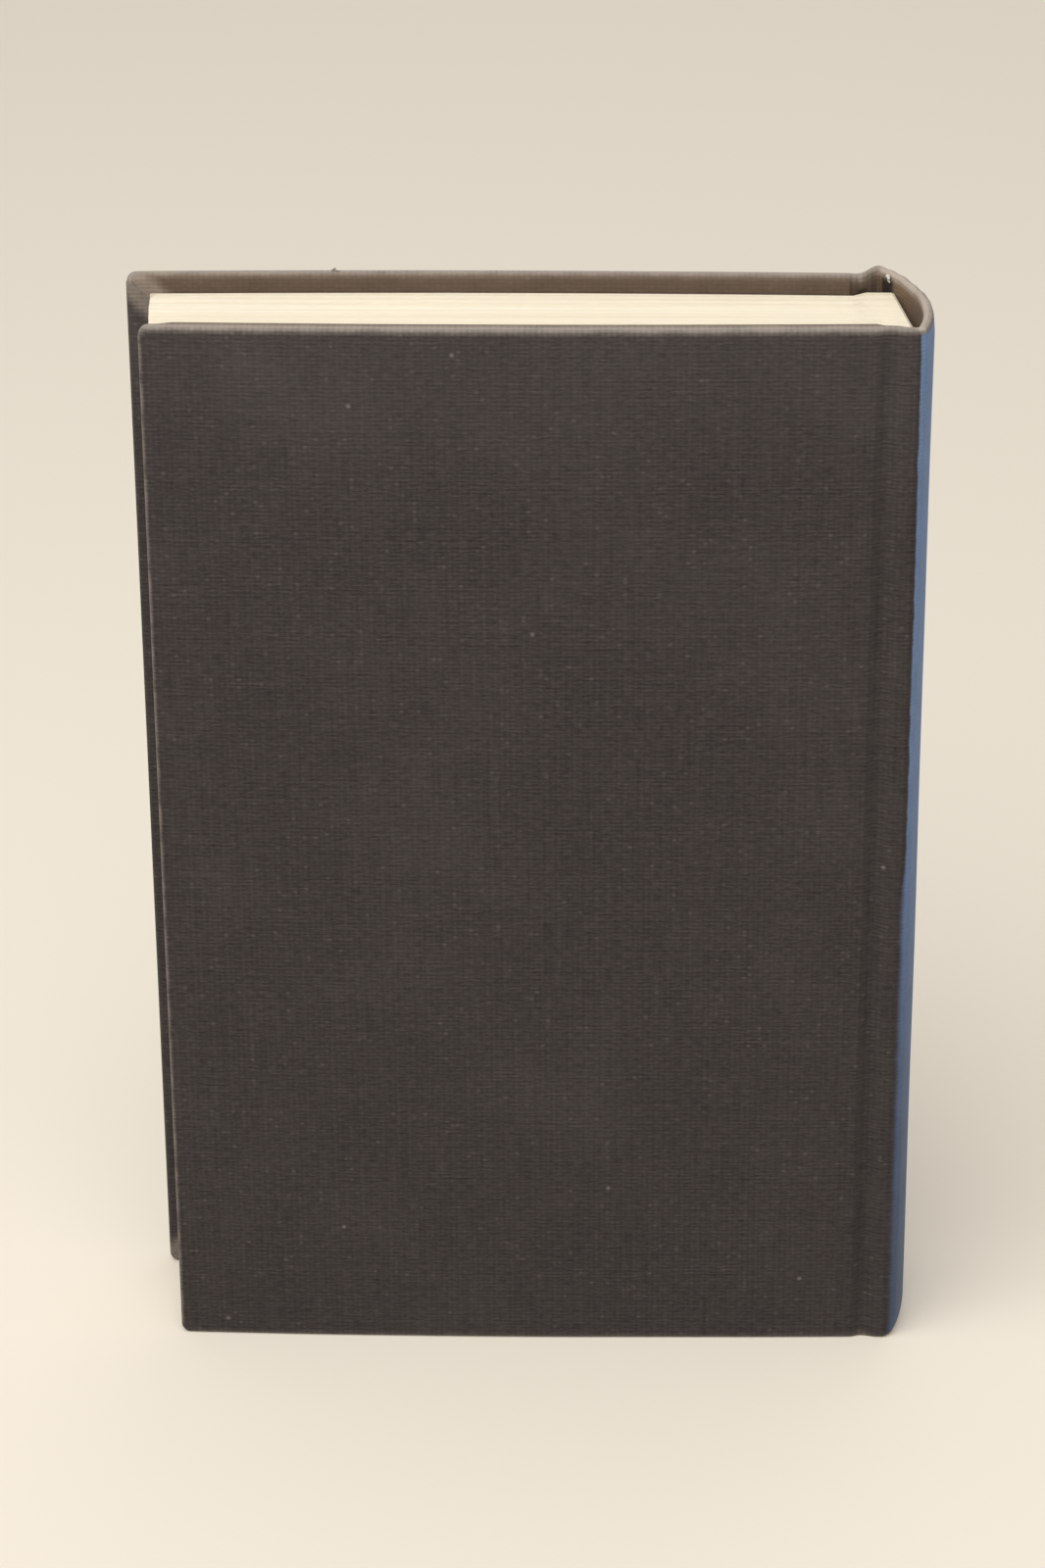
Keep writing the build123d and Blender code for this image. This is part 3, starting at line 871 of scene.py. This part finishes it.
class HARDBACK_OT_spine(bpy.types.Operator):
    """Build the cloth of the rounded spine, folded in over its card at head and tail"""

    bl_idname = "hardback.spine"
    bl_label = "Spine cloth"

    def execute(self, context):
        case = Case(context.scene.hardback_sizes)
        piece = build_spine(case)
        piece.data.materials.append(cloth_material(case, context.scene.hardback_cloth))
        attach(piece, "block")
        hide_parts("spine_cloth")
        return {"FINISHED"}


class HARDBACK_OT_endpapers(bpy.types.Operator):
    """Build the endpapers pasted inside the covers, which bend in the joints, and finish the flyleaves"""

    bl_idname = "hardback.endpapers"
    bl_label = "Endpapers"

    def execute(self, context):
        case = Case(context.scene.hardback_sizes)
        paper = paper_material("endpaper_sheet", context.scene.hardback_paper.endpaper, 0.06)
        dress(("back_flyleaf", "front_flyleaf"), paper)
        low, high = box_mm("text_block")
        zs = np.linspace(low[2] + 0.1, high[2] - 0.1, 60)
        for side, name, body, node in (
            (BACK, "back_endpaper", "back_cover", "back_pastedown"),
            (FRONT, "front_endpaper", "front_cover", "front_pastedown"),
        ):
            joint, end = case.joint[side], case.roll[side][0][0] + 0.1
            fly_x, fly_y = flank(node.replace("pastedown", "flyleaf"), side)
            flat = np.linspace(case.fore[side] + 4.7, joint - 0.4, 60)
            bend = np.linspace(joint + 0.5, end, 30)
            xs = np.concatenate([flat, bend])
            pasted = case.face(flat, side) - side * (case.thick + 0.13)
            ys = np.concatenate([pasted, np.interp(bend, fly_x, fly_y) + side * 0.09])
            ys[2:-2] = np.convolve(ys, (0.1, 0.2, 0.4, 0.2, 0.1), "valid")
            grid = Grid()
            sheet = []
            for z, lift in [(zs[0], 0.1)] + [(z, 0.0) for z in zs] + [(z, 0.1) for z in zs[::-1]]:
                sheet.append(np.column_stack([xs, ys + side * lift, np.full(len(xs), z)]))
            sheet = np.array(sheet)
            grid.skin(grid.add(sheet, sheet[:, :, [0, 2]].copy()), flip=side == BACK)
            piece = grid.build(name)
            piece.data.materials.append(paper)
            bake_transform(piece)
            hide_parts(node)
        return {"FINISHED"}


class HARDBACK_OT_linings(bpy.types.Operator):
    """Finish the boards, the spine's card and the lining on the leaves' back"""

    bl_idname = "hardback.linings"
    bl_label = "Boards and linings"

    def execute(self, context):
        paper = context.scene.hardback_paper
        dress(("back_board", "front_board"), paper_material("grey_board_pulp", paper.board, 0.18, 0.00003))
        dress(("spine_board",), paper_material("spine_card_pulp", paper.card, 0.2, 0.00003))
        dress(("spine_lining",), paper_material("crash_lining", paper.lining, 0.22, 0.00008))
        return {"FINISHED"}


def tuft(name, root, strands, material, body):
    """A few short fibres, each a fine round tube: (radius at its middle, its points from the root)."""
    grid = Grid()
    for radius, *points in strands:
        points = np.array(points, float) + root
        steps = np.linspace(0, len(points) - 1, 3 * len(points))
        path = np.column_stack([np.interp(steps, range(len(points)), points[:, k]) for k in range(3)])
        path[1:-1] = (path[:-2] + 2 * path[1:-1] + path[2:]) / 4
        rings = []
        for i, place in enumerate(path):
            ahead = Vector(path[min(i + 1, len(path) - 1)] - path[max(i - 1, 0)]).normalized()
            side = ahead.orthogonal().normalized()
            other = ahead.cross(side)
            width = radius * (0.25 + 0.75 * math.sin(math.pi * i / (len(path) - 1)))
            turns = np.linspace(0, 2 * math.pi, 9)
            rings.append([place + np.array(side * math.cos(a) + other * math.sin(a)) * width for a in turns])
        block = np.array(rings)
        grid.skin(grid.add(block, block[:, :, [0, 2]].copy()))
    piece = grid.build(name)
    piece.data.materials.append(material)
    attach(piece, body)


class HARDBACK_OT_threads(bpy.types.Operator):
    """Add the few pulled threads and the scrap of white lining that the worn cloth shows at its head"""

    bl_idname = "hardback.threads"
    bl_label = "Loose threads"

    def execute(self, context):
        case = Case(context.scene.hardback_sizes)
        for name, dark, light in (("loose_thread", 0.10, 0.34), ("lining_scrap", 0.45, 0.86)):
            material, g, shader = new_material(name, 0.9, 0.15)
            tone = g.noise(g.node("ShaderNodeTexCoord").outputs["Object"], 900.0, 2.0)
            g.put(shader.inputs["Base Color"], g.mix(tone, *shades((1.0, 0.93, 0.84), dark, light)))
        x = case.fore[FRONT] + 39.0
        root = x, case.face(x, FRONT) - 1.2, case.height
        pulled = (
            (0.11, (-0.9, 0, -0.2), (-0.5, 0.2, 0.3), (0, 0, 0.5), (0.6, 0, -0.2)),
            (0.09, (-0.4, 0.2, -0.2), (-0.1, 0.3, 0.4), (0.1, 0.5, 0.6)),
            (0.08, (0.2, -0.3, -0.2), (0.5, -0.4, 0.2), (1.1, -0.3, 0.3)),
        )
        thread, white = (bpy.data.materials[name] for name in ("loose_thread", "lining_scrap"))
        tuft("pulled_threads", root, pulled, thread, "front_cover")
        root = *case.roll[FRONT][0], case.height
        scrap = (
            (0.4, (1.1, -0.9, -0.2), (1.5, -1.7, 0), (1.6, -2.5, -0.4)),
            (0.22, (1.5, -1.2, -0.5), (1.6, -1.7, -0.9), (1.8, -2.2, -1.1)),
        )
        tuft("lining_scrap", root, scrap, white, "block")
        return {"FINISHED"}


FLOOR_RADIUS = 9.0
CAMERA_LENS, CAMERA_SENSOR = 112.5, 36.0
CAMERA_TURNS = 26.77, -1.60, 0.42  # degrees: down, to the left and over
CAMERA_FROM_BOOK = 92.5, -828.6, 542.2  # from the tail of the back cover's fore-edge, in millimetres


class HARDBACK_OT_stage(bpy.types.Operator):
    """Build the plain floor and backdrop, the lamps and the camera"""

    bl_idname = "hardback.stage"
    bl_label = "Stage"

    def execute(self, context):
        stage = context.scene.hardback_stage
        mesh = bpy.data.meshes.new("stage_floor")
        bm = bmesh.new()
        bmesh.ops.create_circle(bm, cap_ends=True, segments=96, radius=FLOOR_RADIUS)
        bm.to_mesh(mesh)
        bm.free()
        floor = linked("stage_floor", mesh)
        material, g, shader = new_material("stage_paint", 0.9, 0.1)
        seen = seen_directly(g)
        place = g.node("ShaderNodeTexCoord").outputs["Object"]
        grain = use_group(g, FIBRE, Place=place, Tooth=900.0, Mottle=2.0)
        shade = g.mix(grain["Mottling"], *shades(stage.floor, 0.98, 1.02))
        bounce = tuple(c * k for c, k in zip(stage.floor, (0.50, 0.47, 0.44)))
        g.put(shader.inputs["Base Color"], g.mix(seen, bounce, shade))
        g.put(shader.inputs["Emission Color"], g.mix(seen, (0.0, 0.0, 0.0), stage.glow))
        shader.inputs["Emission Strength"].default_value = 1.0
        mesh.materials.append(material)

        world = bpy.data.worlds.new("room_light")
        context.scene.world = world
        world.use_nodes = True
        g = Graph(world.node_tree)
        seen = seen_directly(g)
        backdrop = world.node_tree.nodes["Background"]
        g.put(backdrop.inputs[0], g.mix(seen, (1.0, 0.965, 0.92), stage.room))
        g.put(backdrop.inputs[1], g.plus(g.times(seen, 1.0 - stage.world), stage.world))

        def lamp(name, power, size, at, to, colour):
            light = bpy.data.lights.new(name, "AREA")
            light.shape = "RECTANGLE"
            light.size, light.size_y = size
            light.energy = power
            light.color = colour
            thing = linked(name, light)
            thing.location = at
            thing.rotation_euler = (Vector(to) - Vector(at)).to_track_quat("-Z", "Y").to_euler()
            thing.visible_camera = False

        lamp("key_lamp", stage.key, (1.0, 0.8), (-0.25, -0.45, 1.05), (0, 0, 0.15), (1.0, 0.98, 0.95))
        lamp("back_lamp", stage.back, (2.0, 1.6), (0.7, 2.3, 1.4), (0, 0, 0.1), (1.0, 0.98, 0.95))
        lamp("fill_lamp", stage.fill, (2.0, 1.6), (-0.8, -2.3, 1.2), (0, 0, 0.1), (1.0, 0.97, 0.94))

        camera = bpy.data.cameras.new("camera")
        camera.lens, camera.sensor_width = CAMERA_LENS, CAMERA_SENSOR
        camera.clip_start, camera.clip_end = 0.05, 20.0
        eye = linked("camera", camera)
        pitch, yaw, roll = (math.radians(turn) for turn in CAMERA_TURNS)
        ahead = Vector((math.sin(yaw) * math.cos(pitch), math.cos(yaw) * math.cos(pitch), -math.sin(pitch)))
        right = Vector((math.cos(yaw), -math.sin(yaw), 0.0))
        down = ahead.cross(right)
        turned_right = right * math.cos(roll) + down * math.sin(roll)
        turned_down = down * math.cos(roll) - right * math.sin(roll)
        rotation = Matrix((turned_right, -turned_down, -ahead)).transposed()
        back_edge = box_mm("back_cloth")
        start = Vector((back_edge[0][0], back_edge[0][1] + 0.9, 0.0))
        place = (start + Vector(CAMERA_FROM_BOOK)) * MM
        eye.matrix_world = Matrix.Translation(place) @ rotation.to_4x4()
        context.scene.camera = eye
        context.scene.view_settings.view_transform = "Standard"
        return {"FINISHED"}


class HARDBACK_PT_panel(bpy.types.Panel):
    """Buttons that build the book piece by piece"""

    bl_idname = "HARDBACK_PT_panel"
    bl_label = "Hardback book"
    bl_space_type = "VIEW_3D"
    bl_region_type = "UI"
    bl_category = "Hardback"

    def draw(self, context):
        scene = context.scene
        for group in (scene.hardback_sizes, scene.hardback_cloth, scene.hardback_paper, scene.hardback_stage):
            column = self.layout.column()
            for key in group.__annotations__:
                column.prop(group, key)
        for operator in BUILD_ORDER:
            self.layout.operator(operator.bl_idname)


GROUPS = {
    "hardback_sizes": HardbackSizes,
    "hardback_cloth": HardbackCloth,
    "hardback_paper": HardbackPaper,
    "hardback_stage": HardbackStage,
}
BUILD_ORDER = (
    HARDBACK_OT_stage,
    HARDBACK_OT_leaves,
    HARDBACK_OT_covers,
    HARDBACK_OT_spine,
    HARDBACK_OT_endpapers,
    HARDBACK_OT_linings,
    HARDBACK_OT_threads,
)


def register():
    """Registers the settings, operators and panel."""
    for group in GROUPS.values():
        bpy.utils.register_class(group)
    for operator in BUILD_ORDER:
        bpy.utils.register_class(operator)
    bpy.utils.register_class(HARDBACK_PT_panel)
    for key, group in GROUPS.items():
        setattr(bpy.types.Scene, key, PointerProperty(type=group))


def unregister():
    """Removes the panel, operators and settings."""
    for key in GROUPS:
        delattr(bpy.types.Scene, key)
    bpy.utils.unregister_class(HARDBACK_PT_panel)
    for operator in reversed(BUILD_ORDER):
        bpy.utils.unregister_class(operator)
    for group in GROUPS.values():
        bpy.utils.unregister_class(group)


def main():
    """Builds the book and its stage."""
    register()
    for operator in BUILD_ORDER:
        group, name = operator.bl_idname.split(".")
        getattr(getattr(bpy.ops, group), name)()


if __name__ == "__main__":
    main()
